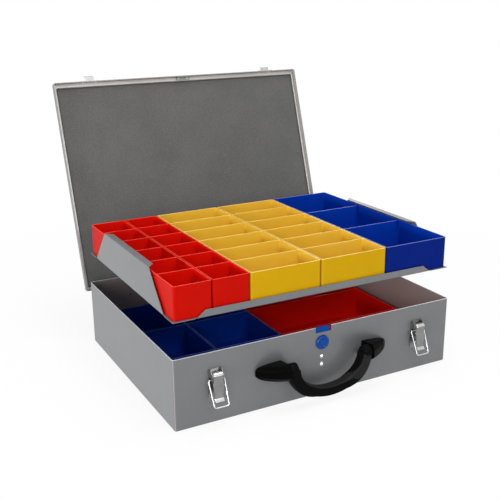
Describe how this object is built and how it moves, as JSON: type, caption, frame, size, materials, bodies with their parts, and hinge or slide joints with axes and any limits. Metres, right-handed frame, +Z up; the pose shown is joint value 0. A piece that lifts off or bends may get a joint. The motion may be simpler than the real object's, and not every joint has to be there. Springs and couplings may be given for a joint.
{
  "type": "compartment storage box",
  "caption": "Folded steel carrying case with a foam-lined hinged lid, a lift-out tray of plastic strip compartments above a second level, toggle latches, a push lock and a swinging handle.",
  "frame": {"origin": "centre of the case's flat underside", "axes": "+Z up; the front with its latches and handle faces -Y; +X to the right seen from the front"},
  "size_m": [0.445, 0.4886, 0.4056],
  "materials": {
    "steel_sheet": "satin grey",
    "zinc_plate": "bright zinc plate",
    "bright_chrome": "polished",
    "black_plastic": "satin",
    "grey_foam": "open-cell foam",
    "button_blue": "gloss",
    "red_plastic": "satin gloss",
    "yellow_plastic": "satin gloss",
    "blue_plastic": "satin gloss"
  },
  "bodies": {
    "case": {"case_shell": "steel_sheet", "hinge_case_rivets": "zinc_plate", "latch_rivets": "zinc_plate", "lock_rivets": "bright_chrome", "lock_foot": "zinc_plate", "handle_screws": "zinc_plate", "hinge_case_leaf_left": "zinc_plate", "hinge_pin_left": "zinc_plate", "latch_base_left": "zinc_plate", "latch_pin_left": "zinc_plate", "handle_bracket_left": "black_plastic", "handle_pin_left": "zinc_plate", "hinge_case_leaf_right": "zinc_plate", "hinge_pin_right": "zinc_plate", "latch_base_right": "zinc_plate", "latch_pin_right": "zinc_plate", "handle_bracket_right": "black_plastic", "handle_pin_right": "zinc_plate"},
    "lid": {"lid_shell": "steel_sheet", "lid_ledge": "steel_sheet", "lid_foam": "grey_foam", "lid_keeper": "zinc_plate", "keeper_rivets": "zinc_plate", "hook_rivets": "zinc_plate", "hinge_lid_rivets": "zinc_plate", "hinge_lid_leaf_left": "zinc_plate", "lid_hook_left": "zinc_plate", "hinge_lid_leaf_right": "zinc_plate", "lid_hook_right": "zinc_plate"},
    "tray": {"tray": "steel_sheet"},
    "lock": {"lock_leaf": "zinc_plate", "lock_catch": "button_blue", "push_button": "button_blue"},
    "handle": {"handle_grip": "black_plastic"},
    "lever_left": {"latch_lever_left": "zinc_plate"},
    "bail_left": {"latch_bail_left": "zinc_plate"},
    "lever_right": {"latch_lever_right": "zinc_plate"},
    "bail_right": {"latch_bail_right": "zinc_plate"},
    "tray_bin_red_left": {"tray_bin_red_left": "red_plastic"},
    "tray_bin_red_right": {"tray_bin_red_right": "red_plastic"},
    "tray_bin_yellow_left": {"tray_bin_yellow_left": "yellow_plastic"},
    "tray_bin_yellow_right": {"tray_bin_yellow_right": "yellow_plastic"},
    "tray_bin_blue": {"tray_bin_blue": "blue_plastic"},
    "case_bin_blue_left": {"case_bin_blue_left": "blue_plastic"},
    "case_bin_blue_right": {"case_bin_blue_right": "blue_plastic"},
    "case_bin_red": {"case_bin_red": "red_plastic"}
  },
  "joints": [
    {"name": "lid_hinge", "type": "hinge", "parent": "case", "child": "lid", "pos_m": [0, 0.168, 0.083], "axis": [-1, 0, 0], "range_deg": [-28, 0]},
    {"name": "tray_lift", "type": "slide", "parent": "case", "child": "tray", "axis": [0, 0, 1], "range_m": [-0.1005, 0.1]},
    {"name": "lock_press", "type": "slide", "parent": "case", "child": "lock", "axis": [0, 1, 0], "range_m": [0, 0.002], "stiffness_N_per_m": 1500, "springref_m": -0.001},
    {"name": "handle_swing", "type": "hinge", "parent": "case", "child": "handle", "pos_m": [0, -0.185, 0.058], "axis": [-1, 0, 0], "range_deg": [-12, 105]},
    {"name": "lever_left_lift", "type": "hinge", "parent": "case", "child": "lever_left", "pos_m": [-0.1622, -0.172, 0.0688], "axis": [-1, 0, 0], "range_deg": [0, 150]},
    {"name": "bail_left_swing", "type": "hinge", "parent": "lever_left", "child": "bail_left", "pos_m": [-0.1622, -0.169, 0.063], "axis": [1, 0, 0], "range_deg": [-153, 23]},
    {"name": "lever_right_lift", "type": "hinge", "parent": "case", "child": "lever_right", "pos_m": [0.1622, -0.172, 0.0688], "axis": [-1, 0, 0], "range_deg": [0, 150]},
    {"name": "bail_right_swing", "type": "hinge", "parent": "lever_right", "child": "bail_right", "pos_m": [0.1622, -0.169, 0.063], "axis": [1, 0, 0], "range_deg": [-153, 23]},
    {"name": "tray_bin_red_left_lift", "type": "slide", "parent": "tray", "child": "tray_bin_red_left", "axis": [0, 0, 1], "range_m": [0, 0.0035]},
    {"name": "tray_bin_red_right_lift", "type": "slide", "parent": "tray", "child": "tray_bin_red_right", "axis": [0, 0, 1], "range_m": [0, 0.06]},
    {"name": "tray_bin_yellow_left_lift", "type": "slide", "parent": "tray", "child": "tray_bin_yellow_left", "axis": [0, 0, 1], "range_m": [0, 0.06]},
    {"name": "tray_bin_yellow_right_lift", "type": "slide", "parent": "tray", "child": "tray_bin_yellow_right", "axis": [0, 0, 1], "range_m": [0, 0.06]},
    {"name": "tray_bin_blue_lift", "type": "slide", "parent": "tray", "child": "tray_bin_blue", "axis": [0, 0, 1], "range_m": [0, 0.0035]},
    {"name": "case_bin_blue_left_lift", "type": "slide", "parent": "case", "child": "case_bin_blue_left", "axis": [0, 0, 1], "range_m": [0, 0.099]},
    {"name": "case_bin_blue_right_lift", "type": "slide", "parent": "case", "child": "case_bin_blue_right", "axis": [0, 0, 1], "range_m": [0, 0.099]},
    {"name": "case_bin_red_lift", "type": "slide", "parent": "case", "child": "case_bin_red", "axis": [0, 0, 1], "range_m": [0, 0.099]}
  ]
}
